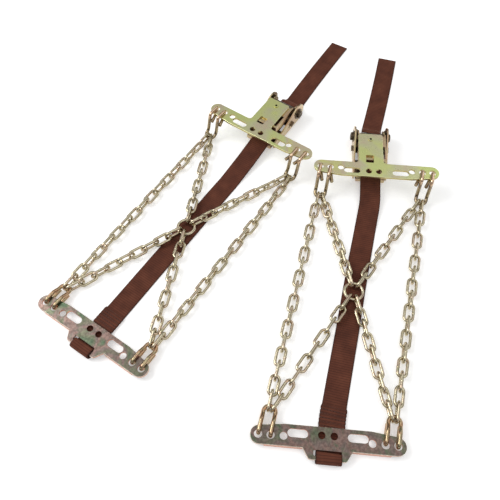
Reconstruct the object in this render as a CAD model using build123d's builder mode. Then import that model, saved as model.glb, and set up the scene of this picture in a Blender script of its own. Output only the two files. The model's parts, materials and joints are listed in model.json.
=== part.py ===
"""A pair of strap-on traction chains for a car tyre.

Both units have the same pieces. A unit is modelled in its own frame (origin on the floor under
the anchor plate's hook holes, +X to its right, +Y along the webbing towards the ratchet, +Z up)
and is then turned and moved to where it lies in the pair. Both plates of the right unit lie
turned, so its net is a leaning parallelogram.
"""
from build123d import *
import math
import os
import random

os.makedirs("parts", exist_ok=True)
random.seed(11)

# The pair on the floor
lean = 10.0  # each unit leans this far towards the other, degrees
half_gap = 132.0  # from the middle of the pair to an anchor plate's centre
row_shift = -255.30  # with pair_shift, brings the middle of the pair's box to x = 0 and y = 0
pair_shift = 1.25
plate_turn = {"left": 0.0, "right": 9.0}  # how far each unit's plates lie turned, degrees

# Both plates and their row of holes
hook_line_gap = 320.0  # between the two plates' hook hole lines
plate_half = 75.0
plate_thickness = 2.5
bar_outer_edge = -9.5  # the straight edge, away from the chains
bar_end_radius = 9.0
bar_bulge = 11.5  # chain-side edge over the middle
bulge_half = 42.0
hook_hole_x = (55.0, 67.0)
hook_hole_radius = 4.0
spare_hole_x = 42.5
spare_hole_radius = 3.75
slot_x = 29.0
slot_length = 20.0
slot_width = 8.0
slot_shift = 3.5  # slots and centre holes sit towards the chain side
centre_hole_x = 6.0
centre_hole_radius = 3.6

# Anchor plate
anchor_top = 8.0
anchor_bottom = anchor_top - plate_thickness
flange_length = 37.0
flange_thickness = 2.4
flange_x = 42.5
webbing_slot = (27.0, 5.4)
webbing_slot_y = -13.0
lug_depth = -19.5
lug_half_root = 24.0
lug_half_tip = 18.0

# T-plate and its tab
tee_top = 30.0
tee_bottom = tee_top - plate_thickness
tab_left = -21.0
tab_right = 9.0
tab_end = hook_line_gap + 56.0
window_size = (9.5, 11.5)
window_centre = (-7.5, hook_line_gap + 15.5)
tee_hole_shift = -3.0
rivet_centre = (-6.0, hook_line_gap + 47.0)
rivet_radius = 2.45

# Hooks
hook_wire = 2.1
hook_x = 61.0
hook_leg = 6.0
hook_reach = 28.0
hook_bend = 3.5
hook_tip_z = 6.2
hook_clear = 0.25
upper_tip_y = hook_line_gap - 30.0
upper_stub_lean = 5.2  # the upper hooks' stubs lean inwards, past the legs

# Chain
chain_wire = 1.6
link_inner = 17.6
link_half_width = 6.2
link_end = (link_inner + 2 * chain_wire) / 2  # link centre to the middle of its end wire
side_links = 17
cross_links = 9
chain_z = 6.3
flat_drop = 0.8
tilted_drop = 0.4
ring_radius = 9.85
ring_z = 6.9
ring_y = hook_line_gap / 2 + 3.0
ring_lift = 1.5
lift_near = 50.0
lift_far = 120.0
hook_seat = 5.1  # link end wire inside the hook's tip
hook_seat_x = 1.7
hook_side_roll = 22.0  # the links beside the hooks lie tilted past each other
ring_seat = 6.1

# Webbing
webbing_width = 25.0
webbing_thickness = 1.5
webbing_x = 1.0
webbing_mid = webbing_thickness / 2
rise_start = 250.0  # from here the webbing rises towards the ratchet
rise_end = hook_line_gap + 4.0
rise_height = 11.0
spool_webbing_x = {"left": -1.2, "right": -3.5}
tail_end = {"left": (-9.0, 547.0), "right": (-9.0, 550.0)}

# Ratchet
sheet = 1.8
ratchet_x = -3.5  # the ratchet sits to the left, under the tab
spool_y = hook_line_gap + 65.0
spool_z = 14.0
spool_radius = 5.0
spool_slot = 2.2
spool_half_length = 25.2
running_gap = 0.05
frame_inner = 15.2
gear_inner = 17.3
lever_inner = 19.4
lever_outer = lever_inner + sheet
frame_lobe = 8.5
lever_lobe = 13.0
gear_tip = 9.6
gear_root = 7.7
gear_teeth = 12
pawl_gap = 0.3
pawl_start = gear_tip + pawl_gap
pawl_length = 13.0
pawl_angle = 15.0
pawl_travel = 3.0
pawl_half_width = 19.1
lug_start = 13.5
lug_length = 7.0
lug_reach = 23.7
grip_start = hook_line_gap + 1.5
grip_half_width = 17.6
frame_start = hook_line_gap + 16.0
frame_end = hook_line_gap + 55.0
spring_wire = 0.35
spring_radius = 1.9
spring_pitch = 1.5
spring_wall_y = hook_line_gap + 35.0
washer_x = 21.4
washer_thickness = 0.8
washer_radius = 7.2
pin_x = 23.5
pin_radius = 1.0
pin_half = 6.8

units = {
    "left": Location((pair_shift - half_gap, row_shift, 0), (0, 0, -lean)),
    "right": Location((pair_shift + half_gap, row_shift, 0), (0, 0, lean)),
}


def turned(unit, line_y):
    """Where a plate with its hook holes on line_y lies in its unit, as a turn about that line's middle."""
    return Location((0, line_y, 0), (0, 0, plate_turn[unit])) * Location((0, -line_y, 0))


def write_in(unit, piece, name, place=Location()):
    """Write one finished piece of one unit."""
    copy = piece.part.moved(units[unit] * place)
    copy.label = f"{unit}_{name}"
    export_step(copy, f"parts/{copy.label}.step")


def write_anchor(piece, name):
    """Write a piece that lies turned with the anchor plate, for both units."""
    for unit in units:
        write_in(unit, piece, name, turned(unit, 0))


def write_tee(piece, name):
    """Write a piece that lies turned with the T-plate, for both units."""
    for unit in units:
        write_in(unit, piece, name, turned(unit, hook_line_gap))


def write_ratchet(piece, name):
    """Write a piece of the ratchet, which is modelled about x = 0, for both units."""
    for unit in units:
        write_in(unit, piece, name, turned(unit, hook_line_gap) * Location((ratchet_x, 0, 0)))


def hook_shift(unit, x):
    """How far the turned plate moves the middle of a hook that is at x; hooks don't turn with it."""
    turn = math.radians(plate_turn[unit])
    return (x * (math.cos(turn) - 1), x * math.sin(turn))


def bar_profile(line_y, side, hole_shift):
    """The bar that both plates share, with its holes; side is +1 with the chains towards +Y."""

    def at(x, y):
        return (x, line_y + side * y)

    shoulder = plate_half - bar_end_radius
    end_top = bar_outer_edge + 2 * bar_end_radius
    middle = bar_outer_edge + bar_end_radius
    with BuildSketch() as bar:
        with BuildLine():
            Line(at(-shoulder, bar_outer_edge), at(shoulder, bar_outer_edge))
            ThreePointArc(at(shoulder, bar_outer_edge), at(plate_half, middle), at(shoulder, end_top))
            Line(at(shoulder, end_top), at(bulge_half, bar_bulge))
            Line(at(bulge_half, bar_bulge), at(-bulge_half, bar_bulge))
            Line(at(-bulge_half, bar_bulge), at(-shoulder, end_top))
            ThreePointArc(at(-shoulder, end_top), at(-plate_half, middle), at(-shoulder, bar_outer_edge))
        make_face()
        with Locations(*[at(sign * x, 0) for sign in (-1, 1) for x in hook_hole_x]):
            Circle(hook_hole_radius, mode=Mode.SUBTRACT)
        with Locations(at(-spare_hole_x, 0), at(spare_hole_x, 0)):
            Circle(spare_hole_radius, mode=Mode.SUBTRACT)
        with Locations(at(-slot_x, slot_shift), at(slot_x, slot_shift)):
            SlotOverall(slot_length, slot_width, mode=Mode.SUBTRACT)
        with Locations(*[at(hole_shift + sign * centre_hole_x, slot_shift) for sign in (-1, 1)]):
            Circle(centre_hole_radius, mode=Mode.SUBTRACT)
    return bar.sketch


# Anchor plate: the bar, a lug with the webbing slot and two flanges it stands on
anchor_bar = bar_profile(0, 1, 0)
with BuildPart() as lower_plate:
    with BuildSketch(Plane.XY.offset(anchor_bottom)) as anchor_sketch:
        add(anchor_bar)
        with BuildLine():
            Polyline(
                (-lug_half_root, bar_outer_edge + 1),
                (-lug_half_root, bar_outer_edge),
                (-lug_half_tip, lug_depth),
                (lug_half_tip, lug_depth),
                (lug_half_root, bar_outer_edge),
                (lug_half_root, bar_outer_edge + 1),
                close=True,
            )
        make_face()
        fillet(anchor_sketch.vertices().group_by(Axis.Y)[0], 3)
        with Locations((0, webbing_slot_y)):
            RectangleRounded(*webbing_slot, 1.2, mode=Mode.SUBTRACT)
    extrude(amount=plate_thickness)
    flange_y = bar_outer_edge + flange_thickness / 2
    with Locations((-flange_x, flange_y, 0), (flange_x, flange_y, 0)):
        Box(
            flange_length, flange_thickness, anchor_bottom,
            align=(Align.CENTER, Align.CENTER, Align.MIN),
        )
    fillet(lower_plate.faces().sort_by(Axis.Z)[-1].outer_wire().edges(), 0.6)
write_anchor(lower_plate, "lower_plate")

# T-plate: the same bar the other way round, and the tab over the ratchet
tee_bar = bar_profile(hook_line_gap, -1, tee_hole_shift)
with BuildPart() as upper_plate:
    with BuildSketch(Plane.XY.offset(tee_bottom)) as tee_sketch:
        add(tee_bar)
        tab_root = hook_line_gap + 4
        with Locations(((tab_left + tab_right) / 2, (tab_root + tab_end) / 2)):
            Rectangle(tab_right - tab_left, tab_end - tab_root)
        fillet(tee_sketch.vertices().group_by(Axis.Y)[-1], 2.5)
        tab_corners = tee_sketch.vertices().filter_by(
            lambda v: abs(v.Y - hook_line_gap + bar_outer_edge) < 0.01 and abs(v.X) < 30
        )
        fillet(tab_corners, 4)
        with Locations(window_centre):
            RectangleRounded(*window_size, 1.2, mode=Mode.SUBTRACT)
        with Locations(rivet_centre):
            Circle(rivet_radius + running_gap, mode=Mode.SUBTRACT)
    extrude(amount=plate_thickness)
    fillet(upper_plate.faces().sort_by(Axis.Z)[-1].outer_wire().edges(), 0.6)
write_tee(upper_plate, "upper_plate")


def wire_hook(legs, radii):
    """A U-hook of round wire through the points of its left leg and of its right leg, both from the stub."""
    left, right = legs
    with BuildPart() as hook:
        with BuildLine() as route:
            FilletPolyline(*left, *reversed(right), radius=radii + radii[::-1])
        with BuildSketch(Plane(origin=route.line @ 0, z_dir=route.line % 0)):
            Circle(hook_wire)
        sweep()
    return hook


over = anchor_top + hook_wire + hook_clear
under = anchor_bottom - hook_wire - hook_clear
lower_hook = wire_hook(
    [
        [
            (x, 20.5, under),
            (x, 0, under),
            (x, 0, over),
            (x, 13.0, over),
            (x, hook_reach - 8.0, hook_tip_z + 0.6),
            (x, hook_reach, hook_tip_z),
        ]
        for x in (-hook_leg, hook_leg)
    ],
    [hook_bend, hook_bend, 6.0, 8.0, hook_leg - 0.05],
)
tee_over = tee_top + hook_wire + hook_clear
tee_under = tee_bottom - hook_wire - hook_clear


def upper_hook(inward):
    """A hook of the T-plate; inward is +1 where the plate's middle is towards +X."""
    return wire_hook(
        [
            [
                (x + inward * upper_stub_lean, hook_line_gap - 18.5, tee_under),
                (x, hook_line_gap, tee_under),
                (x, hook_line_gap, tee_over),
                (x, hook_line_gap - 14.5, tee_over),
                (x, upper_tip_y + 9.0, hook_tip_z + 2.2),
                (x, upper_tip_y, hook_tip_z),
            ]
            for x in (-hook_leg, hook_leg)
        ],
        [hook_bend, hook_bend, hook_bend, 8.0, hook_leg - 0.05],
    )


for side, sign in (("left", -1), ("right", 1)):
    for level, hook in (("lower", lower_hook), ("upper", upper_hook(-sign))):
        for unit in units:
            shift_x, shift_y = hook_shift(unit, sign * hook_x)
            place = Location((sign * hook_x + shift_x, shift_y, 0))
            write_in(unit, hook, f"{level}_hook_{side}", place)

# One chain link, lying flat along X
with BuildPart() as link:
    bend = link_half_width - chain_wire
    straight = link_end - bend
    with BuildLine() as link_route:
        Line((-straight, -bend), (straight, -bend))
        ThreePointArc((straight, -bend), (link_end, 0), (straight, bend))
        Line((straight, bend), (-straight, bend))
        ThreePointArc((-straight, bend), (-link_end, 0), (-straight, -bend))
    with BuildSketch(Plane(origin=(0, -bend, 0), z_dir=(1, 0, 0))):
        Circle(chain_wire)
    sweep(path=link_route.wire())


def chain(start, end, count, height):
    """Links from one end wire seat to the other; the first and last stand on edge."""
    (x0, y0), (x1, y1) = start, end
    run = math.hypot(x1 - x0, y1 - y0)
    heading = math.degrees(math.atan2(y1 - y0, x1 - x0))
    pitch = (run - 2 * link_end) / (count - 1)
    places = []
    for i in range(count):
        along = link_end + i * pitch
        on_edge = i % 2 == 0
        at_end = i in (0, count - 1)
        loose = 0 if at_end else 1
        roll = (90 if on_edge else 0) + loose * random.uniform(-7, 7)
        turn = loose * random.uniform(-1.3, 1.3)
        drop = 0 if on_edge else flat_drop
        if i == 1:
            roll = hook_side_roll
            drop = tilted_drop
        if i == count - 2 and count == side_links:
            roll = -hook_side_roll
            drop = tilted_drop
        z = height(along) - drop
        place = (x0 + (x1 - x0) * along / run, y0 + (y1 - y0) * along / run, z)
        places.append(Location(place) * Location((0, 0, 0), (0, 0, heading + turn))
                      * Location((0, 0, 0), (roll, 0, 0)))
    with BuildPart() as links:
        with Locations(*places):
            add(link.part)
    return links


def on_floor(along):
    return chain_z


def ring_distance_height(distance):
    """Cross chains lift over the webbing near the ring."""
    share = (lift_far - distance) / (lift_far - lift_near)
    return chain_z + ring_lift * min(1, max(0, share))


# The net: two side chains and four cross chains between the hooks and the ring
for unit in units:
    for side, sign in (("left", -1), ("right", 1)):
        shift_x, shift_y = hook_shift(unit, sign * hook_x)
        lower_seat = hook_reach - hook_seat + shift_y
        upper_seat = upper_tip_y + hook_seat + shift_y
        outer = sign * (hook_x + hook_seat_x) + shift_x
        inner = sign * (hook_x - hook_seat_x) + shift_x
        side_chain = chain((outer, lower_seat), (outer, upper_seat), side_links, on_floor)
        write_in(unit, side_chain, f"side_chain_{side}")
        for level, seat in (("lower", lower_seat), ("upper", upper_seat)):
            reach = math.hypot(inner, ring_y - seat)
            share = ring_seat / reach
            ring_end = (inner * share, ring_y + (seat - ring_y) * share)

            def cross_height(along, reach=reach):
                return ring_distance_height(reach - along)

            cross = chain((inner, seat), ring_end, cross_links, cross_height)
            write_in(unit, cross, f"cross_chain_{level}_{side}")

with BuildPart() as centre_ring:
    with Locations((0, ring_y, ring_z)):
        Torus(ring_radius, chain_wire)
for unit in units:
    write_in(unit, centre_ring, "centre_ring")


def ribbon(points, radii, x=webbing_x, turn=0.0):
    """Flat webbing along points (y, z), as wide as the webbing; turn swings it about its start, at x."""
    turn_at = points[0][0]
    swung = Plane.YZ.rotated((0, 0, turn))
    plane = Plane(origin=(x, turn_at, 0), x_dir=swung.x_dir, z_dir=swung.z_dir)
    with BuildPart() as band:
        with BuildLine(plane) as route:
            FilletPolyline(*[(y - turn_at, z) for y, z in points], radius=radii)
        with BuildSketch(Plane(origin=route.line @ 0, x_dir=plane.z_dir, z_dir=route.line % 0)):
            Rectangle(webbing_width, webbing_thickness)
        sweep()
    return band


# Webbing: sewn loop, run under the net, stretch through the ratchet and the free end
split = hook_reach - 1.0
second_layer = 3 * webbing_thickness / 2 + 0.3
webbing_loop = ribbon(
    [
        (split, webbing_mid),
        (-22.0, webbing_mid),
        (-22.0, anchor_top + 1.2),
        (-12.6, anchor_top + 1.2),
        (-12.6, second_layer),
        (split, second_layer),
    ],
    [3.6, 3.0, 1.6, 1.5],
)
write_anchor(webbing_loop, "webbing_loop")

upper_split = upper_tip_y - 1.0
rise = (rise_height - webbing_mid) / (rise_end - rise_start)
spool_clear = spool_radius + 0.4
tail_start = spool_clear + 1.1


def height_on_rise(y):
    return webbing_mid + (y - rise_start) * rise


def into_tee_frame(unit, x, y):
    """A point of a unit, in the frame of its turned T-plate."""
    turn = math.radians(plate_turn[unit])
    ahead = y - hook_line_gap
    return (
        x * math.cos(turn) + ahead * math.sin(turn),
        hook_line_gap + ahead * math.cos(turn) - x * math.sin(turn),
    )


def heading(start_x, start_y, end_x, end_y):
    """The turn from +Y to the direction between two points, degrees."""
    return math.degrees(math.atan2(start_x - end_x, end_y - start_y))


def corner(turn):
    """How far a corner of the webbing reaches past its middle line's end when it is turned."""
    return webbing_width / 2 * math.sin(math.radians(abs(turn)))


for unit in units:
    run_start = split + corner(plate_turn[unit]) + 0.2
    run_end = upper_split - corner(plate_turn[unit])
    webbing_run = ribbon(
        [(run_start, webbing_mid), (rise_start, webbing_mid), (run_end, height_on_rise(run_end))], [80]
    )
    write_in(unit, webbing_run, "webbing_run")

    in_spool_x = spool_webbing_x[unit]
    throat_x, throat_y = into_tee_frame(unit, webbing_x, upper_split + 0.6)
    turn = heading(throat_x, throat_y, in_spool_x, spool_y)
    throat = ribbon(
        [
            (throat_y, height_on_rise(throat_y)),
            (rise_end, rise_height),
            (spool_y - 9, spool_z),
            (spool_y - spool_clear - corner(turn), spool_z),
        ],
        [60, 30],
        throat_x,
        turn,
    )
    end_x, end_y = into_tee_frame(unit, *tail_end[unit])
    turn = heading(in_spool_x, spool_y, end_x, end_y)
    free_end = ribbon(
        [
            (spool_y + tail_start + corner(turn), spool_z),
            (spool_y + 12, spool_z),
            (spool_y + 26, webbing_mid),
            (end_y, webbing_mid),
        ],
        [7, 16],
        in_spool_x,
        turn,
    )
    with BuildPart() as webbing_tail:
        add(throat.part)
        add(free_end.part)
    write_in(unit, webbing_tail, "webbing_tail", turned(unit, hook_line_gap))

    with BuildPart() as webbing_in_slot:
        with Locations((in_spool_x, spool_y, spool_z)):
            Box(webbing_width, 2 * spool_radius + 0.4, webbing_thickness)
    write_in(unit, webbing_in_slot, "webbing_in_slot", turned(unit, hook_line_gap))


def pawl_plane(direction):
    """Plane YZ turned so that its X runs from the spool's axis along a pawl; +1 is the frame's."""
    angle = math.radians(direction * pawl_angle)
    along = (0, -math.cos(angle), math.sin(angle))
    return Plane(origin=(0, spool_y, spool_z), x_dir=along, z_dir=(1, 0, 0))


def pawl_slot(direction, start, length, thickness):
    """Cut a guide slot for a pawl through the sketch that is open."""
    angle = direction * pawl_angle
    middle = start + length / 2
    centre = (
        spool_y - middle * math.cos(math.radians(angle)),
        spool_z + middle * math.sin(math.radians(angle)),
    )
    with Locations(Location(centre, -angle)):
        Rectangle(length, thickness, mode=Mode.SUBTRACT)


# Ratchet frame: a channel under the tab, open beside the tab
with BuildPart() as ratchet_frame:
    frame_outer = frame_inner + sheet
    with BuildSketch(Plane.YZ.offset(frame_inner)):
        with BuildLine():
            Polyline(
                (frame_start, tee_bottom),
                (frame_end + 3, tee_bottom),
                (spool_y + frame_lobe, spool_z),
                (spool_y - frame_lobe, spool_z),
                (frame_start, tee_bottom - 8),
                close=True,
            )
        make_face()
        with Locations((spool_y, spool_z)):
            Circle(frame_lobe)
            Circle(spool_radius + running_gap, mode=Mode.SUBTRACT)
        pawl_slot(1, pawl_start - 0.5, pawl_length + pawl_travel + 1.2, sheet + 0.3)
    extrude(amount=sheet)
    mirror(about=Plane.YZ)
    with BuildSketch(Plane.XY.offset(tee_bottom)):
        with Locations((0, (frame_start + frame_end) / 2)):
            Rectangle(2 * frame_outer, frame_end - frame_start)
        with Locations((frame_inner - 2.2, frame_start + 12.5)):
            Rectangle(4.4, 19, mode=Mode.SUBTRACT)
        with Locations((rivet_centre[0] - ratchet_x, rivet_centre[1])):
            Circle(rivet_radius + running_gap, mode=Mode.SUBTRACT)
    extrude(amount=-sheet)
    with Locations((0, spring_wall_y, tee_bottom - sheet)):
        Box(14, sheet, 6.4, align=(Align.CENTER, Align.MAX, Align.MAX))
write_ratchet(ratchet_frame, "ratchet_frame")

# Hollow rivet through the tab and the frame
with BuildPart() as frame_rivet:
    with Locations((*rivet_centre, tee_bottom - sheet - 0.8)):
        Cylinder(3.3, 0.8, align=(Align.CENTER, Align.CENTER, Align.MIN))
        Cylinder(
            rivet_radius, plate_thickness + sheet + 1.6, align=(Align.CENTER, Align.CENTER, Align.MIN)
        )
    with Locations((*rivet_centre, tee_top)):
        Cylinder(3.1, 0.8, align=(Align.CENTER, Align.CENTER, Align.MIN))
    with Locations(rivet_centre):
        Cylinder(1.5, 100, mode=Mode.SUBTRACT)
write_tee(frame_rivet, "frame_rivet")

# Spool: two half-round bars with the webbing's slot between them
with BuildPart() as spool:
    with BuildSketch(Plane.YZ.offset(-spool_half_length)):
        with Locations((spool_y, spool_z)):
            Circle(spool_radius)
            Rectangle(3 * spool_radius, spool_slot, mode=Mode.SUBTRACT)
    extrude(amount=2 * spool_half_length)
    chamfer(spool.edges().filter_by(GeomType.CIRCLE), 0.6)
    with Locations((-pin_x, spool_y, spool_z), (pin_x, spool_y, spool_z)):
        Cylinder(pin_radius + 0.03, 4 * spool_radius, mode=Mode.SUBTRACT)
write_ratchet(spool, "spool")

# Saw-toothed wheels with two half-round holes for the spool's bars
tooth = 360 / gear_teeth
tooth_points = []
for i in range(gear_teeth):
    for radius, angle in ((gear_tip, i * tooth), (gear_root, i * tooth + 3)):
        turn = math.radians(angle)
        tooth_points.append((spool_y + radius * math.cos(turn), spool_z + radius * math.sin(turn)))
for side, inner_face in (("left", -gear_inner - sheet), ("right", gear_inner)):
    with BuildPart() as gear:
        with BuildSketch(Plane.YZ.offset(inner_face)):
            with BuildLine():
                Polyline(*tooth_points, close=True)
            make_face()
            with Locations((spool_y, spool_z)):
                Circle(spool_radius + running_gap, mode=Mode.SUBTRACT)
                Rectangle(2 * spool_radius + 1, spool_slot - 0.1)
        extrude(amount=sheet)
    write_ratchet(gear, f"gear_{side}")

# Washers and cross pins that hold the spool's ends
with BuildPart() as spool_pins:
    for sign in (-1, 1):
        with Locations(Location((sign * (washer_x + washer_thickness / 2), spool_y, spool_z), (0, 90, 0))):
            Cylinder(washer_radius, washer_thickness)
            Cylinder(spool_radius + running_gap, 2 * washer_thickness, mode=Mode.SUBTRACT)
    for sign in (-1, 1):
        with Locations((sign * pin_x, spool_y, spool_z)):
            Cylinder(pin_radius, 2 * pin_half)
write_ratchet(spool_pins, "spool_pins")

# Lever: two cheeks joined by a web, with the driving pawl's guide slots
with BuildPart() as handle_frame:
    with BuildSketch(Plane.YZ.offset(lever_inner)):
        with BuildLine():
            Polyline(
                (grip_start + 6, 0),
                (spool_y, spool_z - lever_lobe),
                (spool_y - 4, spool_z + lever_lobe - 0.7),
                (spool_y - 34, 14),
                (grip_start + 6, 8.5),
                close=True,
            )
        make_face()
        with Locations((spool_y, spool_z)):
            Circle(lever_lobe)
            Circle(spool_radius + running_gap, mode=Mode.SUBTRACT)
        pawl_slot(-1, lug_start - 0.4, lug_length + pawl_travel + 1.0, sheet + 0.3)
    extrude(amount=sheet)
    mirror(about=Plane.YZ)
    web_start = grip_start + 10
    web_end = spool_y - 29
    with Locations((0, (web_start + web_end) / 2, 0)):
        Box(2 * lever_inner + 0.4, web_end - web_start, sheet, align=(Align.CENTER, Align.CENTER, Align.MIN))
    with Locations((0, spring_wall_y, sheet - 0.2)):
        Box(14, sheet, 8.2, align=(Align.CENTER, Align.MAX, Align.MIN))
write_ratchet(handle_frame, "handle_frame")

# Rolled grip across the lever's end
with BuildPart() as handle_grip:
    with BuildLine(Plane.YZ) as roll:
        FilletPolyline(
            (grip_start + 10, sheet / 2),
            (grip_start + sheet / 2, sheet / 2),
            (grip_start + sheet / 2, 8.6),
            (grip_start + 7, 8.6),
            radius=3,
        )
    with BuildSketch(Plane(origin=roll.line @ 0, x_dir=(1, 0, 0), z_dir=roll.line % 0)):
        Rectangle(2 * grip_half_width, sheet)
    sweep()
write_ratchet(handle_grip, "handle_grip")


def pawl(direction, lugs):
    """A sliding plate that points at the gears; lugs reach out through the lever's cheeks."""
    with BuildPart() as plate:
        with BuildSketch(pawl_plane(direction)):
            with Locations((pawl_start + pawl_length / 2, 0)):
                Rectangle(pawl_length, sheet)
        extrude(amount=pawl_half_width, both=True)
        if lugs:
            with BuildSketch(pawl_plane(direction)):
                with Locations((lug_start + lug_length / 2, 0)):
                    Rectangle(lug_length, sheet)
            extrude(amount=lug_reach, both=True)
    return plate


write_ratchet(pawl(-1, True), "handle_pawl")
write_ratchet(pawl(1, False), "frame_pawl")


def pawl_spring(direction, wall_y):
    """A coil between a pawl's back edge and the wall behind it."""
    angle = math.radians(direction * pawl_angle)
    start = pawl_start + pawl_length + spring_wire + 0.1
    stop = (spool_y - wall_y) / math.cos(angle) - 2 * spring_wire - 0.5
    along = Vector(0, -math.cos(angle), math.sin(angle))
    seat = Vector(0, spool_y, spool_z) + along * start
    with BuildPart() as spring:
        with BuildLine() as coil:
            Helix(spring_pitch, stop - start, spring_radius, center=seat, direction=along)
        with BuildSketch(Plane(origin=coil.line @ 0, z_dir=coil.line % 0)):
            Circle(spring_wire)
        sweep(is_frenet=True)
    return spring


write_ratchet(pawl_spring(-1, spring_wall_y), "handle_pawl_spring")
write_ratchet(pawl_spring(1, spring_wall_y), "frame_pawl_spring")
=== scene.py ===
"""Looks for a pair of strap-on tyre traction chains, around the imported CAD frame.

Lengths in this file are in millimetres in a unit's own frame (X across, Y along the webbing
towards the ratchet, Z up from the floor) until `to_row` turns them into metres in the row frame.
"""

import bmesh
import bpy
import json
import math
import numpy as np
import random
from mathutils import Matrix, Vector


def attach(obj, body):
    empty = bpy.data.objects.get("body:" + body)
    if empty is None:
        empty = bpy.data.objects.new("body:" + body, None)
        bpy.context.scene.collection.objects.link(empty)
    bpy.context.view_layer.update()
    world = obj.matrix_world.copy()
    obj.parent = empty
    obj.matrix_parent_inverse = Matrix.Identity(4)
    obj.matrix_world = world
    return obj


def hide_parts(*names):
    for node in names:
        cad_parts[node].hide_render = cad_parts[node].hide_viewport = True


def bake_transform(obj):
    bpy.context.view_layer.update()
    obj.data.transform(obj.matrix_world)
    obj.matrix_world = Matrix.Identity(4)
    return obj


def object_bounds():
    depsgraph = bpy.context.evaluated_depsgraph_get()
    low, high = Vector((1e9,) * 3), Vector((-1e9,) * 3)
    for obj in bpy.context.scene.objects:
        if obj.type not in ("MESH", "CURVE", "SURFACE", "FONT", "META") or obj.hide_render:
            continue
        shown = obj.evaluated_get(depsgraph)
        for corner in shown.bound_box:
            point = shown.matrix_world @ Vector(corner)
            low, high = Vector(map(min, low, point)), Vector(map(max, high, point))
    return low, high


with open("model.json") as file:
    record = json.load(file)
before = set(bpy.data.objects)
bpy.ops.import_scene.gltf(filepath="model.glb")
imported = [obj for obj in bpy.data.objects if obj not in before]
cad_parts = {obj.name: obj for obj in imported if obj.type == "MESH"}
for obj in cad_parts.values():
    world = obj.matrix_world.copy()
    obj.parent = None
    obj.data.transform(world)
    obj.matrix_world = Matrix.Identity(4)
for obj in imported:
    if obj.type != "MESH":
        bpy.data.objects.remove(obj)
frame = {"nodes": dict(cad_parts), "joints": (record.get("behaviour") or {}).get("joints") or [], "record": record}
cad_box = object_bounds()
random.seed(5)
MM = 0.001
UNITS = ("left", "right")
joints = {j["name"]: j for j in frame["joints"]}

# Lengths that repeat the CAD's own
HOOK_TIP_Y = 28.0  # the anchor plate's hooks' tips, on the lower hinge's line
UPPER_TIP_Y = 290.0  # the same at the T-plate
TEE_Y = 320.0  # the T-plate's hook holes
SPOOL_Y, SPOOL_Z = 385.0, 14.0
IN_SPOOL_X = {"left": -1.2, "right": -3.5}
RING_Y = 163.0
STRAP_X = 1.0
STRAP_HALF = 12.5
STRAP_THICK = 1.5
STRAP_MID = STRAP_THICK / 2
LOOP_START = -22.0  # the loop's outer side
SLOT_Y = -13.0  # the anchor plate's slot
LOOP_BACK = -12.6  # where the loop comes down behind the anchor plate's bar
LOOP_TOP_Z = 9.2
LAYER_END = 34.0  # the sewn layer's free end
LAYER_Z = 2.5
RISE_START, RISE_END, RISE_Z = 250.0, 324.0, 11.0  # the webbing climbs to the ratchet between these
SLOT_REACH = 5.2  # half the length of webbing inside the spool
SPOOL_IN, SPOOL_OUT = 5.4, 6.5  # where the webbing on each side of the spool ends, from its axis
THROAT = 9.0  # how far before the spool the webbing is level
TAIL_DROP, TAIL_DOWN = 11.0, 25.0  # where the free end leaves the spool's height and meets the floor
TAIL_END = {"left": (-9.0, 547.0), "right": (-9.0, 550.0)}
LINK_SIDE = 4.6  # from a link's middle to the middle of its side wire
LINK_WIRE = 1.6

# The webbing's surface
RIB_PITCH = 2.6
RIB_HEIGHT = 0.13
RIB_BULGE = 0.10  # how much wider the webbing is at a rib
UNDERSIDE_LAG = 3  # rows by which the underside's ribs trail the top's
CROWN = 0.10  # how much thinner the webbing is at its edges, as a share
SEAL_LENGTH, SEAL_SWELL = 0.9, 0.16  # the melted edge at the free end
EDGE_ROUND, EDGE_STEP = 0.55, 0.16
FLAT_COLUMNS = 15
STEP = 0.225  # between rows of vertices
DRIFT = 0.30  # how far the webbing strays sideways
TAIL_BOW = 0.8
LOOP_RADII, THROAT_RADII, TAIL_RADII = (1.5, 1.6, 3.0, 3.6), (60, 60, 20), (7, 16)

# The sewn layer and its stitches
SWELL_ENDS = 8.0  # no swell nearer the plate than this Y
LAYER_SWELL, LAYER_BULGE = 0.85, 0.9
STITCH_PITCH = 3.9
STITCH_ROWS = 5
FIRST_ROW = 1.2
STITCHES = 8
STITCH_SPACING = 3.1
STITCH_RADIUS = 0.30
STITCH_JITTER, STITCH_SKEW = 0.12, 0.15
STITCH_SIDES = 8

# Weld beads
BEAD_SIDES = 14
BEAD_SWELL = 0.27
BEAD_SUNK = 0.07  # the bead's ends lie this far under the wire's surface
BEAD_SHIFT, BEAD_WOBBLE = 0.8, 0.012
HALF_LENGTH = 1.25  # of a weld bead or a stitch
TUBE_RINGS = 7

# Places along the unit passed to bend_between, which does not bend the webbing
LOWER_BEND = (16, 40)
UPPER_BEND = (278, 304)


def unit_axes(unit):
    """The unit's origin on the floor, its X and its Y, in the row frame, from its two plate hinges."""
    lower = Vector(joints[f"{unit}_lower_swing"]["pos_m"])
    upper = Vector(joints[f"{unit}_upper_swing"]["pos_m"])
    along = (upper - lower).normalized()
    across = along.cross(Vector((0, 0, 1)))
    origin = lower - along * HOOK_TIP_Y * MM
    origin.z = 0
    return origin, across, along


def to_row(unit, points):
    """An array of points in the unit's frame, in millimetres, as an array in the row frame in metres."""
    origin, across, along = (np.array(v) for v in unit_axes(unit))
    p = np.asarray(points, float) * MM
    up = np.array((0, 0, 1.0))
    return origin + p[..., :1] * across + p[..., 1:2] * along + p[..., 2:3] * up


def row_point(unit, x, y, z):
    return tuple(to_row(unit, np.array([x, y, z])))


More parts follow.
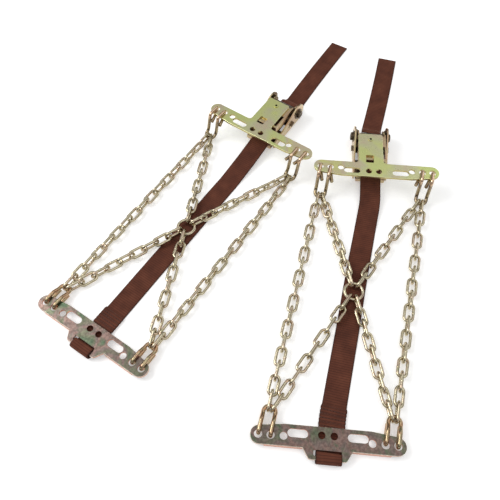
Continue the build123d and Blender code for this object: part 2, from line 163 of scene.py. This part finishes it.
def on_plate(unit, x, y, line_y):
    """A point given in the frame of a plate whose hook holes are on line_y, in the unit's frame."""
    _, across, along = unit_axes(unit)
    axis = Vector(joints[f"{unit}_upper_swing"]["axis"])
    turn = math.atan2(axis.dot(along), axis.dot(across))
    ahead = y - line_y
    return (
        x * math.cos(turn) - ahead * math.sin(turn),
        line_y + x * math.sin(turn) + ahead * math.cos(turn),
    )


# ---------------------------------------------------------------- materials


def rgb(r, g, b):
    """An sRGB colour, 0 to 255, as linear RGBA, by the sRGB curve."""
    lin = [(c / 255 / 12.92) if c <= 10 else ((c / 255 + 0.055) / 1.055) ** 2.4 for c in (r, g, b)]
    return (*lin, 1.0)


class Nodes:
    """Short ways to add shader nodes to one material."""

    def __init__(self, name):
        self.mat = bpy.data.materials.new(name)
        self.mat.use_nodes = True
        self.tree = self.mat.node_tree
        self.shader = self.tree.nodes["Principled BSDF"]
        self.coord = self.tree.nodes.new("ShaderNodeTexCoord")

    def add(self, kind, **values):
        node = self.tree.nodes.new(kind)
        for key, value in values.items():
            if hasattr(node, key):
                setattr(node, key, value)
            else:
                node.inputs[key.replace("_", " ")].default_value = value
        return node

    def link(self, a, b):
        self.tree.links.new(a, b)

    def noise(self, scale, detail=2.0, distortion=0.0, stretch=None):
        node = self.add("ShaderNodeTexNoise", Scale=scale, Detail=detail, Distortion=distortion)
        source = self.coord.outputs["Object"]
        if stretch:
            mapping = self.add("ShaderNodeMapping")
            mapping.inputs["Scale"].default_value = stretch
            self.link(source, mapping.inputs["Vector"])
            source = mapping.outputs["Vector"]
        self.link(source, node.inputs["Vector"])
        return node.outputs["Fac"]

    def ramp(self, value, stops):
        node = self.add("ShaderNodeValToRGB")
        elements = node.color_ramp.elements
        while len(elements) < len(stops):
            elements.new(0.5)
        for element, (position, colour) in zip(elements, stops):
            element.position = position
            element.color = colour
        self.link(value, node.inputs["Fac"])
        return node.outputs["Color"]

    def remap(self, value, low, high, to_low, to_high):
        node = self.add("ShaderNodeMapRange")
        for key, number in (("From Min", low), ("From Max", high), ("To Min", to_low), ("To Max", to_high)):
            node.inputs[key].default_value = number
        self.link(value, node.inputs["Value"])
        return node.outputs["Result"]

    def math(self, operation, a, b=None):
        node = self.add("ShaderNodeMath", operation=operation)
        for socket, value in zip(node.inputs, (a, b)):
            if value is None:
                continue
            if isinstance(value, (int, float)):
                socket.default_value = value
            else:
                self.link(value, socket)
        return node.outputs["Value"]

    def mix(self, factor, a, b):
        """b over a; sockets 6 and 7 are the colours A and B."""
        node = self.add("ShaderNodeMix", data_type="RGBA")
        for socket, value in ((node.inputs["Factor"], factor), (node.inputs[6], a), (node.inputs[7], b)):
            if isinstance(value, (int, float, tuple)):
                socket.default_value = value
            else:
                self.link(value, socket)
        return node.outputs[2]  # the colour result

    def bump(self, height, strength, distance, under=None):
        node = self.add("ShaderNodeBump", Strength=strength, Distance=distance)
        self.link(height, node.inputs["Height"])
        if under is not None:
            self.link(under, node.inputs["Normal"])
        return node.outputs["Normal"]

    def finish(self, colour, roughness, normal):
        self.link(colour, self.shader.inputs["Base Color"])
        self.link(roughness, self.shader.inputs["Roughness"])
        self.link(normal, self.shader.inputs["Normal"])
        return self.mat


# The scales of the steel's noises: higher is finer
GRAIN, PATCHES, SCUFFS, WEAR, DENTS = 1900, 430, 420, 150, 230
SIDE_FACE = (0.55, 0.15)  # the normal's height where a face starts to count as a side, and is fully one
LEVEL_FACE = (0.98, 0.88)  # the same for the rounded edge of a level face


def zinc(name, stops, coarse, rough, sides=None, rim_highlight=None, high=None, speckle=0.10, mottle=0.0, dent=0.05):
    """Plated steel: a tint that wanders over it, fine speckle, faint scuffs and worn spots.

    stops are the tint's colours, coarse is its scale, and rough the lowest and highest roughness.
    sides tints the faces that look sideways, rim paints a highlight on the rounded edges between them and the flat
    faces, and high the parts above a height (two heights, colour).
    """
    n = Nodes(name)
    n.shader.inputs["Metallic"].default_value = 1.0
    wander = n.noise(coarse, 3.0, 0.8)
    colour = n.ramp(wander, stops)
    if high:
        low_z, high_z, tint = high
        split = n.add("ShaderNodeSeparateXYZ")
        n.link(n.coord.outputs["Object"], split.inputs["Vector"])
        colour = n.mix(n.remap(split.outputs["Z"], low_z, high_z, 0, 1), colour, tint)
    if sides:
        split = n.add("ShaderNodeSeparateXYZ")
        n.link(n.coord.outputs["Normal"], split.inputs["Vector"])
        flat = n.math("ABSOLUTE", split.outputs["Z"])
        colour = n.mix(n.remap(flat, *SIDE_FACE, 0, 1), colour, sides)
        # Painted highlight: a paler colour on the rounded edges between the flat faces and the sides, where they
        # catch the light.
        if rim_highlight:
            beside_flat = n.remap(flat, *LEVEL_FACE, 0, 1)
            beside_side = n.remap(flat, 0.15, 0.45, 0, 1)
            colour = n.mix(n.math("MULTIPLY", beside_flat, beside_side), colour, rim_highlight)
    fine = n.noise(GRAIN, 2.0)
    grain = n.remap(fine, 0.3, 0.7, 1 - speckle, 1 + speckle)
    patches = n.remap(n.noise(PATCHES, 2.0), 0.35, 0.65, 1 - mottle, 1 + mottle)
    grain = n.math("MULTIPLY", grain, patches)
    shaded = n.add("ShaderNodeVectorMath", operation="SCALE")
    n.link(colour, shaded.inputs[0])
    n.link(grain, shaded.inputs["Scale"])
    scuffs = n.noise(SCUFFS, 4.0, stretch=(1.0, 0.16, 1.0))
    worn = n.remap(n.noise(WEAR, 3.0), 0.35, 0.7, *rough)
    roughness = n.math("ADD", worn, n.remap(scuffs, 0.55, 0.75, 0.0, 0.10))
    dents = n.bump(n.noise(DENTS, 2.0), dent, 0.00025)
    normal = n.bump(scuffs, 0.12, 0.00004, under=dents)
    return n.finish(shaded.outputs["Vector"], roughness, normal)


def attribute(n, name):
    node = n.add("ShaderNodeAttribute", attribute_name=name)
    return node.outputs["Fac"]


YARN_PITCH = 0.83
SELVAGE = (1.6, 0.3)  # the darker edge starts and is full this far from the webbing's edge


def woven():
    """Brown polyester webbing: yarns across the ribs, darker selvages, a dark melted end, and painted shade in the
    grooves between the ribs, the yarns and the sewn layer's stitch rows.
    """
    n = Nodes("webbing_brown")
    for key, value in (("Sheen Weight", 0.18), ("Sheen Roughness", 0.45), ("Specular IOR Level", 0.28)):
        n.shader.inputs[key].default_value = value
    n.shader.inputs["Sheen Tint"].default_value = rgb(196, 128, 92)
    across, along = attribute(n, "across"), attribute(n, "along")
    blotch = n.noise(65, 3.0)
    colour = n.ramp(blotch, [(0.3, rgb(84, 43, 29)), (0.5, rgb(96, 51, 35)), (0.72, rgb(108, 60, 42))])
    yarns = n.math("SINE", n.math("MULTIPLY", across, math.tau / YARN_PITCH))
    ribs = n.math("ABSOLUTE", n.math("SINE", n.math("MULTIPLY", along, math.pi / RIB_PITCH)))
    # Painted shade: the grooves between the ribs are darker.
    colour = n.mix(n.remap(ribs, 0.0, 0.55, 0.72, 0.0), colour, rgb(40, 20, 14))
    # Painted shade: the valleys between the yarns, where the bump is low, are darker.
    colour = n.mix(n.remap(yarns, -1.0, -0.2, 0.22, 0.0), colour, rgb(52, 27, 19))
    starts, full = (STRAP_HALF - inset for inset in SELVAGE)
    edge = n.remap(n.math("ABSOLUTE", across), starts, full, 0.0, 0.65)
    colour = n.mix(edge, colour, rgb(46, 25, 20))
    # Darkens the melted end, and paints shade into the grooves between the sewn layer's stitch rows: both come in
    # one attribute.
    colour = n.mix(attribute(n, "seal_and_painted_shade"), colour, rgb(30, 17, 14))
    fuzz = n.noise(2600, 2.0)
    roughness = n.remap(fuzz, 0.3, 0.7, 0.72, 0.92)
    normal = n.bump(yarns, 0.5, 0.00007, under=n.bump(fuzz, 0.5, 0.00008))
    return n.finish(colour, roughness, normal)


def thread():
    """Bonded sewing thread, a little glossier than the webbing."""
    n = Nodes("stitch_thread")
    twist = n.add("ShaderNodeTexWave", bands_direction="DIAGONAL", Scale=900, Distortion=0.5)
    n.link(n.coord.outputs["Object"], twist.inputs["Vector"])
    colour = n.ramp(twist.outputs["Fac"], [(0.2, rgb(52, 27, 21)), (0.8, rgb(96, 55, 42))])
    roughness = n.remap(twist.outputs["Fac"], 0, 1, 0.45, 0.65)
    return n.finish(colour, roughness, n.bump(twist.outputs["Fac"], 0.5, 0.0001))


# The pale colour on the plate's rounded edges is a painted highlight.
anchor_zinc = zinc(
    "dark_iridescent_zinc",
    [(0.30, rgb(88, 104, 84)), (0.40, rgb(112, 112, 94)), (0.48, rgb(122, 108, 102)),
     (0.54, rgb(136, 112, 104)), (0.62, rgb(108, 106, 92)), (0.72, rgb(96, 112, 90))],
    42, (0.28, 0.44), sides=rgb(206, 150, 124), rim_highlight=rgb(232, 228, 212), speckle=0.12, mottle=0.24, dent=0.22,
)
# The pale colour on the plate's rounded edges is a painted highlight.
tee_zinc = zinc(
    "yellow_green_zinc",
    [(0.28, rgb(208, 222, 142)), (0.44, rgb(218, 222, 152)), (0.52, rgb(214, 214, 168)),
     (0.60, rgb(216, 200, 172)), (0.70, rgb(222, 222, 148))],
    19, (0.27, 0.36), sides=rgb(186, 172, 120), rim_highlight=rgb(232, 232, 180), speckle=0.04, mottle=0.03, dent=0.08,
)
hook_zinc = zinc(
    "golden_zinc",
    [(0.32, rgb(178, 158, 126)), (0.46, rgb(194, 156, 124)), (0.56, rgb(180, 168, 134)),
     (0.68, rgb(182, 140, 116))],
    60, (0.20, 0.32), speckle=0.05, dent=0.02,
)
upper_hook_zinc = zinc(
    "grey_gold_zinc",
    [(0.32, rgb(146, 134, 104)), (0.50, rgb(158, 142, 112)), (0.66, rgb(140, 124, 104))],
    60, (0.20, 0.34), high=(0.026, 0.032, rgb(226, 196, 166)), speckle=0.06,
)
chain_zinc = zinc(
    "pale_olive_zinc",
    [(0.30, rgb(176, 164, 138)), (0.42, rgb(200, 190, 162)), (0.52, rgb(210, 200, 172)),
     (0.60, rgb(202, 180, 158)), (0.70, rgb(186, 180, 148))],
    85, (0.14, 0.26), speckle=0.06,
)
ratchet_zinc = zinc(
    "copper_tinted_zinc",
    [(0.30, rgb(186, 158, 126)), (0.46, rgb(204, 176, 144)), (0.56, rgb(196, 184, 142)),
     (0.68, rgb(206, 164, 138))],
    55, (0.22, 0.36),
)
dark_steel = zinc(
    "dark_steel",
    [(0.30, rgb(92, 80, 68)), (0.50, rgb(120, 106, 90)), (0.68, rgb(100, 96, 82))],
    70, (0.28, 0.42),
)
spring_steel = zinc(
    "spring_steel", [(0.3, rgb(150, 146, 138)), (0.7, rgb(190, 186, 176))], 90, (0.2, 0.35)
)
webbing = woven()
stitching = thread()
SLOT_MATERIALS = {
    "anchor_zinc": anchor_zinc, "tee_zinc": tee_zinc, "hook_zinc": hook_zinc, "chain_zinc": chain_zinc,
    "webbing": webbing, "ratchet_zinc": ratchet_zinc, "ratchet_steel": dark_steel,
    "spring_steel": spring_steel,
}
slot_of = {s["node"]: s["material_slot"] for s in frame["record"]["subparts"]}
for node, ob in frame["nodes"].items():
    ob.data.materials.clear()
    ob.data.materials.append(upper_hook_zinc if "upper_hook" in node else SLOT_MATERIALS[slot_of[node]])


# ---------------------------------------------------------------- webbing


ARC_POINTS = 24
SAME_WAY = 1e-4  # radians
SAME_POINT = 1e-6


def rounded(points, radii, step):
    """Points (y, z) of a line with rounded corners, about step apart, with their distances along it."""
    corners = [np.array(p, float) for p in points]
    line = [corners[0]]
    for before, corner, after, radius in zip(corners, corners[1:], corners[2:], radii):
        a = (before - corner) / np.linalg.norm(before - corner)
        b = (after - corner) / np.linalg.norm(after - corner)
        turn = math.pi - math.acos(float(np.clip(a @ b, -1, 1)))
        if turn < SAME_WAY:
            line.append(corner)
            continue
        reach = radius * math.tan(turn / 2)
        middle = corner + (a + b) / np.linalg.norm(a + b) * radius / math.cos(turn / 2)
        first, last = corner + a * reach - middle, corner + b * reach - middle
        for t in np.linspace(0, 1, ARC_POINTS):
            arc = first * math.sin((1 - t) * turn) + last * math.sin(t * turn)
            line.append(middle + arc / math.sin(turn))
    line.append(corners[-1])
    line = np.array(line)
    gaps = np.linalg.norm(np.diff(line, axis=0), axis=1)
    keep = np.concatenate([[True], gaps > SAME_POINT])
    line = line[keep]
    distance = np.concatenate([[0], np.cumsum(np.linalg.norm(np.diff(line, axis=0), axis=1))])
    at = np.linspace(0, distance[-1], max(2, int(round(distance[-1] / step)) + 1))
    return np.stack([np.interp(at, distance, line[:, i]) for i in (0, 1)], 1), at


LINE_LEAD = 25.0  # the middle line starts this far before the loop
LINE_RADII = (60, 120, 150, 90)  # of its bends
LINE_STEP = 0.5
STRAIGHT_FROM, STRAIGHT_TO = HOOK_TIP_Y - 4, UPPER_TIP_Y - 2  # it is straight under the net


class MiddleLine:
    """Where a unit's webbing runs, seen from above."""

    def __init__(self, unit):
        before = on_plate(unit, STRAP_X, LOOP_START - LINE_LEAD, 0)
        slot = on_plate(unit, STRAP_X, SLOT_Y, 0)
        net_start = (STRAP_X, STRAIGHT_FROM)
        net_end = (STRAP_X, STRAIGHT_TO)
        spool = on_plate(unit, IN_SPOOL_X[unit], SPOOL_Y, TEE_Y)
        end = TAIL_END[unit]
        beyond = tuple(2 * e - s for e, s in zip(end, spool))
        points = [before, slot, net_start, net_end, spool, beyond]
        self.line, at = rounded(points, LINE_RADII, LINE_STEP)
        self.tangent = np.gradient(self.line, axis=0)
        self.tangent /= np.linalg.norm(self.tangent, axis=1)[:, None]
        self.at = at + LOOP_START - LINE_LEAD
        self.spool = self.nearest(spool)
        self.end = self.nearest(end)

    def nearest(self, point):
        """How far along the middle line it comes nearest to a point."""
        return self.at[np.argmin(np.linalg.norm(self.line - np.array(point), axis=1))]

    def bend(self, vertices):
        """Vertices of straight webbing, x from its middle line, laid along the middle line."""
        x, y, z = vertices.T
        middle_x, middle_y, to_x, to_y = (
            np.interp(y, self.at, values) for values in (*self.line.T, *self.tangent.T)
        )
        return np.stack([middle_x + x * to_y, middle_y - x * to_x, z], 1)


def section():
    """The top of the webbing's cross section from edge to edge: x, and height as a share."""
    flat = np.linspace(-1, 1, FLAT_COLUMNS) * (STRAP_HALF - EDGE_ROUND)
    near = STRAP_HALF - EDGE_STEP
    x = np.concatenate([[-STRAP_HALF, -near], flat, [near, STRAP_HALF]])
    height = np.concatenate([[0.0, 0.55], np.ones(FLAT_COLUMNS), [0.55, 0.0]])
    return x, height


def mesh_object(name, vertices, faces, material, attributes=()):
    """A smooth object from vertices in the row frame, with a number at each vertex for each attribute."""
    mesh = bpy.data.meshes.new(name)
    mesh.from_pydata([tuple(v) for v in vertices], [], faces)
    mesh.materials.append(material)
    for key, values in attributes:
        layer = mesh.attributes.new(key, "FLOAT", "POINT")
        layer.data.foreach_set("value", np.asarray(values, np.float32))
    mesh.polygons.foreach_set("use_smooth", [True] * len(mesh.polygons))
    mesh.update()
    ob = bpy.data.objects.new(name, mesh)
    bpy.context.scene.collection.objects.link(ob)
    return ob


def strap(line, distance, shift, swell=None, shade=0.0, sealed_from=None):
    """Vertices, faces, and each vertex's place across and along and its darkness, of ribbed webbing.

    line holds its rows' (y, z) and distance how far along it they are. shift moves each row in x,
    swell gives each row's extra thickness and width, and shade each row's painted shade, a darkening in colour
    only.
    """
    tangent = np.gradient(line, axis=0)
    tangent /= np.linalg.norm(tangent, axis=1)[:, None]
    normal = np.stack([-tangent[:, 1], tangent[:, 0]], 1)
    rib = np.abs(np.sin(math.pi * distance / RIB_PITCH)) ** 0.7
    x, share = section()
    rows = len(line)
    thick, wide = swell or (np.zeros(rows), np.zeros(rows))
    seal_and_painted_shade = np.zeros(rows)
    if sealed_from is not None:
        seal_and_painted_shade = np.clip((distance - sealed_from) / SEAL_LENGTH, 0, 1)
    groove = STRAP_MID - RIB_HEIGHT
    half_up = groove + RIB_HEIGHT * rib * (1 - seal_and_painted_shade) + SEAL_SWELL * seal_and_painted_shade + thick
    half_down = groove + RIB_HEIGHT * np.roll(rib, UNDERSIDE_LAG)
    crown = 1 - CROWN * (np.abs(x) / STRAP_HALF) ** 4
    grow = 1 + (wide + RIB_BULGE * rib - RIB_BULGE) / STRAP_HALF
    top = share * crown
    inner = slice(1, len(x) - 1)
    xs = np.concatenate([x, x[inner][::-1]])
    heights = np.concatenate(
        [half_up[:, None] * top[None], -half_down[:, None] * top[inner][::-1][None]], axis=1
    )
    count = len(xs)
    local_x = xs[None] * grow[:, None] + shift[:, None]
    y = line[:, :1] + heights * normal[:, :1]
    z = line[:, 1:] + heights * normal[:, 1:]
    vertices = np.stack([local_x, y, z], 2).reshape(-1, 3)
    k = np.arange(count)
    following = (k + 1) % count
    faces = []
    for r in range(rows - 1):
        a, b = r * count, (r + 1) * count
        faces += np.stack([a + k, b + k, b + following, a + following], 1).tolist()
    faces.append(list(range(count)))
    faces.append([(rows - 1) * count + i for i in reversed(range(count))])
    across = np.tile(xs, rows)
    along = np.repeat(distance, count)
    return vertices, faces, across, along, np.repeat(np.clip(seal_and_painted_shade + shade, 0, 1), count)


def join(parts):
    """Several results of strap as one."""
    vertices, faces, rest, offset = [], [], [[], [], []], 0
    for part in parts:
        vertices.append(part[0])
        faces += [[i + offset for i in face] for face in part[1]]
        for store, values in zip(rest, part[2:]):
            store.append(values)
        offset += len(part[0])
    return np.concatenate(vertices), faces, *(np.concatenate(values) for values in rest)


def strap_object(name, unit, middle_line, parts):
    vertices, faces, across, along, seal_and_painted_shade = join(parts)
    facts = (("across", across), ("along", along), ("seal_and_painted_shade", seal_and_painted_shade))
    laid = to_row(unit, middle_line.bend(vertices))
    ob = mesh_object(name, laid, faces, webbing, facts)
    return ob


def lie(y, seed):
    """A slow sideways drift, so that the strap isn't dead straight."""
    wave = np.sin(y / 47.0 + seed) * 0.6 + np.sin(y / 21.0 + 2.1 * seed) * 0.4
    return DRIFT * wave


def bend_between(piece, unit, ys):
    """Bake a piece of webbing's placement into its mesh; the two places along the unit are found but not used."""
    start, end = (row_point(unit, 0, y, 0) for y in ys)
    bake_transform(piece)


def tube_faces(base, sides):
    """Faces of a closed tube of TUBE_RINGS rings whose first vertex is base."""
    faces = []
    for s in range(TUBE_RINGS - 1):
        for q in range(sides):
            a, b = base + s * sides + q, base + s * sides + (q + 1) % sides
            faces.append((a, b, b + sides, a + sides))
    last = base + (TUBE_RINGS - 1) * sides
    faces.append([base + q for q in reversed(range(sides))])
    faces.append([last + q for q in range(sides)])
    return faces


def strap_lower(unit, number, middle_line):
    """The sewn layer, the loop round the anchor plate's bar and the run as far as the ring."""
    points = [
        (LAYER_END, LAYER_Z), (LOOP_BACK, LAYER_Z), (LOOP_BACK, LOOP_TOP_Z), (LOOP_START, LOOP_TOP_Z),
        (LOOP_START, STRAP_MID), (RING_Y, STRAP_MID),
    ]
    line, distance = rounded(points, LOOP_RADII, STEP)
    in_layer = distance < LAYER_END - SWELL_ENDS
    phase = (distance - FIRST_ROW) / STITCH_PITCH
    rows_here = in_layer & (phase > 0) & (phase < STITCH_ROWS)
    puff = np.where(rows_here, np.abs(np.sin(math.pi * phase)) ** 0.6, 0.0)
    start_puff = np.clip(distance / 0.6, 0, 1) ** 0.5
    thick = np.where(in_layer, LAYER_SWELL * puff * start_puff, 0.0)
    # Painted shade: the grooves between the puffed stitch rows of the sewn layer are darkened, in colour only.
    shade = np.where(rows_here, 0.9 * (1 - puff) ** 1.5, 0.0)
    wide = np.where(in_layer, LAYER_BULGE * start_puff * (0.55 + 0.45 * puff), 0.0)
    fade = np.clip((LAYER_END - SWELL_ENDS - distance) / 4, 0, 1)
    loop = strap(line, distance, lie(line[:, 0], number), swell=(thick, wide * fade), shade=shade)
    piece = strap_object(f"{unit}_strap_lower", unit, middle_line, [loop])
    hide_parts(f"{unit}_webbing_loop")
    bend_between(piece, unit, LOWER_BEND)


def strap_upper(unit, number, middle_line):
    """The run beyond the ring, the stretch up to the spool, and the free end."""
    spool_y, end_y = middle_line.spool, middle_line.end
    throat_points = [
        (RING_Y, STRAP_MID), (RISE_START, STRAP_MID), (RISE_END, RISE_Z), (spool_y - THROAT, SPOOL_Z),
        (spool_y - SPOOL_IN, SPOOL_Z),
    ]
    tail_points = [
        (spool_y + SPOOL_OUT, SPOOL_Z), (spool_y + TAIL_DROP, SPOOL_Z), (spool_y + TAIL_DOWN, STRAP_MID),
        (end_y, STRAP_MID),
    ]
    line, distance = rounded(throat_points, THROAT_RADII, STEP)
    throat = strap(line, distance, lie(line[:, 0], number))
    line, distance = rounded(tail_points, TAIL_RADII, STEP)
    on_floor = spool_y + TAIL_DOWN
    along_tail = np.clip((line[:, 0] - on_floor) / (end_y - on_floor), 0, 1)
    bow = TAIL_BOW * np.sin(math.pi * along_tail) * (1 if number else -1)
    tail = strap(line, distance, bow, sealed_from=distance[-1] - SEAL_LENGTH)
    piece = strap_object(f"{unit}_strap_upper", unit, middle_line, [throat, tail])
    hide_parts(f"{unit}_webbing_run", f"{unit}_webbing_tail")
    bend_between(piece, unit, UPPER_BEND)


def strap_in_spool(unit, middle_line):
    """The short length inside the spool's slot."""
    ends = [(middle_line.spool + side * SLOT_REACH, SPOOL_Z) for side in (-1, 1)]
    line, distance = rounded(ends, [], STEP)
    in_slot = strap(line, distance, np.zeros(len(line)))
    piece = strap_object(f"{unit}_strap_in_spool", unit, middle_line, [in_slot])
    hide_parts(f"{unit}_webbing_in_slot")
    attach(piece, f"{unit}_spool")


def stitches(unit, middle_line):
    """Rows of stitches in the grooves of the sewn layer."""
    vertices, faces = [], []
    for row in range(STITCH_ROWS + 1):
        y = LAYER_END - FIRST_ROW - row * STITCH_PITCH
        for i in range(STITCHES):
            middle = (i - (STITCHES - 1) / 2) * STITCH_SPACING + random.uniform(-STITCH_JITTER, STITCH_JITTER)
            skew = random.uniform(-STITCH_SKEW, STITCH_SKEW)
            faces += tube_faces(len(vertices), STITCH_SIDES)
            for t in np.linspace(-1, 1, TUBE_RINGS):
                radius = STITCH_RADIUS * math.sqrt(max(0.08, 1 - t ** 6))
                lift = 0.10 - 0.55 * t ** 4
                for q in range(STITCH_SIDES):
                    angle = q * math.tau / STITCH_SIDES
                    vertices.append((
                        middle + t * HALF_LENGTH,
                        y + skew * t + radius * math.cos(angle),
                        LAYER_Z + STRAP_MID - 0.04 + lift * 0.5 + radius * math.sin(angle) * 0.8,
                    ))
    laid = to_row(unit, middle_line.bend(np.array(vertices)))
    piece = mesh_object(f"{unit}_stitches", laid, faces, stitching)
    bend_between(piece, unit, LOWER_BEND)


for number, unit in enumerate(UNITS):
    middle_line = MiddleLine(unit)
    strap_lower(unit, number, middle_line)
    strap_upper(unit, number, middle_line)
    strap_in_spool(unit, middle_line)
    stitches(unit, middle_line)


# ---------------------------------------------------------------- weld beads on the chain links


def islands(ob):
    """The vertices of each loose part of a CAD node, as arrays."""
    bm = bmesh.new()
    bm.from_mesh(ob.data)
    bmesh.ops.remove_doubles(bm, verts=bm.verts, dist=1e-6)
    bm.verts.ensure_lookup_table()
    seen, found = set(), []
    for start in bm.verts:
        if start.index in seen:
            continue
        seen.add(start.index)
        queue, members = [start], []
        while queue:
            v = queue.pop()
            members.append(tuple(v.co))
            for edge in v.link_edges:
                other = edge.other_vert(v)
                if other.index not in seen:
                    seen.add(other.index)
                    queue.append(other)
        found.append(np.array(members))
    bm.free()
    return found


def weld_beads(unit):
    """A weld bead on one side of each chain link."""
    vertices, faces = [], []
    chains = [n for n in frame["nodes"] if n.startswith(unit) and "chain" in n]
    for node in sorted(chains):
        for points in islands(frame["nodes"][node]):
            centre = points.mean(0)
            _, axes = np.linalg.eigh(np.cov((points - centre).T))
            flat_axis, side_axis, length_axis = axes.T
            flip = random.choice((-1, 1))
            middle = centre + side_axis * flip * LINK_SIDE * MM
            offset = random.uniform(-BEAD_SHIFT, BEAD_SHIFT) * MM
            faces += tube_faces(len(vertices), BEAD_SIDES)
            for t in np.linspace(-1, 1, TUBE_RINGS):
                radius = (LINK_WIRE - BEAD_SUNK + BEAD_SWELL * (1 - t * t) ** 0.6) * MM
                ring = middle + length_axis * (offset + t * HALF_LENGTH * MM)
                for q in range(BEAD_SIDES):
                    angle = q * math.tau / BEAD_SIDES
                    wobble = 1 + random.uniform(-BEAD_WOBBLE, BEAD_WOBBLE)
                    outward = math.cos(angle) * side_axis + math.sin(angle) * flat_axis
                    vertices.append(ring + wobble * radius * outward)
    welds = mesh_object(f"{unit}_link_welds", vertices, faces, chain_zinc)
    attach(welds, f"{unit}_net")


for unit in UNITS:
    weld_beads(unit)


# ---------------------------------------------------------------- floor, light and camera

low, high = (Vector(v) for v in cad_box)
middle = (low + high) / 2

FLOOR_REACH = 4.0
floor_mesh = bpy.data.meshes.new("floor")
corners = [(x * FLOOR_REACH, y * FLOOR_REACH, low.z) for x, y in ((-1, -1), (1, -1), (1, 1), (-1, 1))]
floor_mesh.from_pydata(corners, [], [(0, 1, 2, 3)])
floor = bpy.data.objects.new("floor", floor_mesh)
bpy.context.scene.collection.objects.link(floor)
paper = Nodes("white_paper")
paper.shader.inputs["Specular IOR Level"].default_value = 0.1
tone = paper.ramp(paper.noise(3.0), [(0.3, (0.86, 0.86, 0.86, 1)), (0.7, (0.90, 0.90, 0.90, 1))])
paper.link(tone, paper.shader.inputs["Base Color"])
paper.shader.inputs["Roughness"].default_value = 0.9
paper.shader.inputs["Emission Color"].default_value = (1, 1, 1, 1)
paper.shader.inputs["Emission Strength"].default_value = 0.35
floor_mesh.materials.append(paper.mat)


def softbox(name, azimuth, elevation, distance, size, power):
    """A rectangular light that faces the object's middle; angles in degrees."""
    data = bpy.data.lights.new(name, "AREA")
    data.shape = "RECTANGLE"
    data.size, data.size_y = size
    data.energy = power
    ob = bpy.data.objects.new(name, data)
    a, e = math.radians(azimuth), math.radians(elevation)
    way = Vector((math.cos(e) * math.cos(a), math.cos(e) * math.sin(a), math.sin(e)))
    ob.location = middle + way * distance
    ob.rotation_euler = way.to_track_quat("Z", "Y").to_euler()
    bpy.context.scene.collection.objects.link(ob)


softbox("key", azimuth=196, elevation=44, distance=1.7, size=(1.0, 0.9), power=14)
softbox("fill", azimuth=-20, elevation=55, distance=1.8, size=(1.0, 1.4), power=3)
softbox("back", azimuth=60, elevation=35, distance=1.9, size=(1.2, 0.5), power=3)

world = bpy.data.worlds.new("studio")
bpy.context.scene.world = world
world.use_nodes = True
sky = world.node_tree
sky_coord = sky.nodes.new("ShaderNodeTexCoord")
sky_split = sky.nodes.new("ShaderNodeSeparateXYZ")
sky_ramp = sky.nodes.new("ShaderNodeValToRGB")
sky.links.new(sky_coord.outputs["Generated"], sky_split.inputs["Vector"])
sky.links.new(sky_split.outputs["Z"], sky_ramp.inputs["Fac"])
SKY_GREYS = ((0.0, 0.05), (0.5, 0.30), (0.85, 1.0))  # dark at the horizon, white overhead
sky_ramp.color_ramp.elements.new(0.5)
for element, (height, grey) in zip(sky_ramp.color_ramp.elements, SKY_GREYS):
    element.position = height
    element.color = (grey, grey, grey, 1)
sky.links.new(sky_ramp.outputs["Color"], sky.nodes["Background"].inputs["Color"])
sky.nodes["Background"].inputs["Strength"].default_value = 0.80

CAMERA_AT = (0.1120, -0.3904, 0.5593)
CAMERA_YAW = math.radians(24.08)
CAMERA_DIP = math.radians(59.47)
CAMERA_FOCUS = 557.8  # in parts of a 500-part frame
camera_data = bpy.data.cameras.new("camera")
camera_data.sensor_width = 36.0
camera_data.lens = CAMERA_FOCUS / 500 * camera_data.sensor_width
camera = bpy.data.objects.new("camera", camera_data)
camera.location = CAMERA_AT
camera.rotation_euler = (math.pi / 2 - CAMERA_DIP, 0, CAMERA_YAW)
bpy.context.scene.collection.objects.link(camera)
bpy.context.scene.camera = camera
bpy.context.scene.view_settings.view_transform = "Standard"
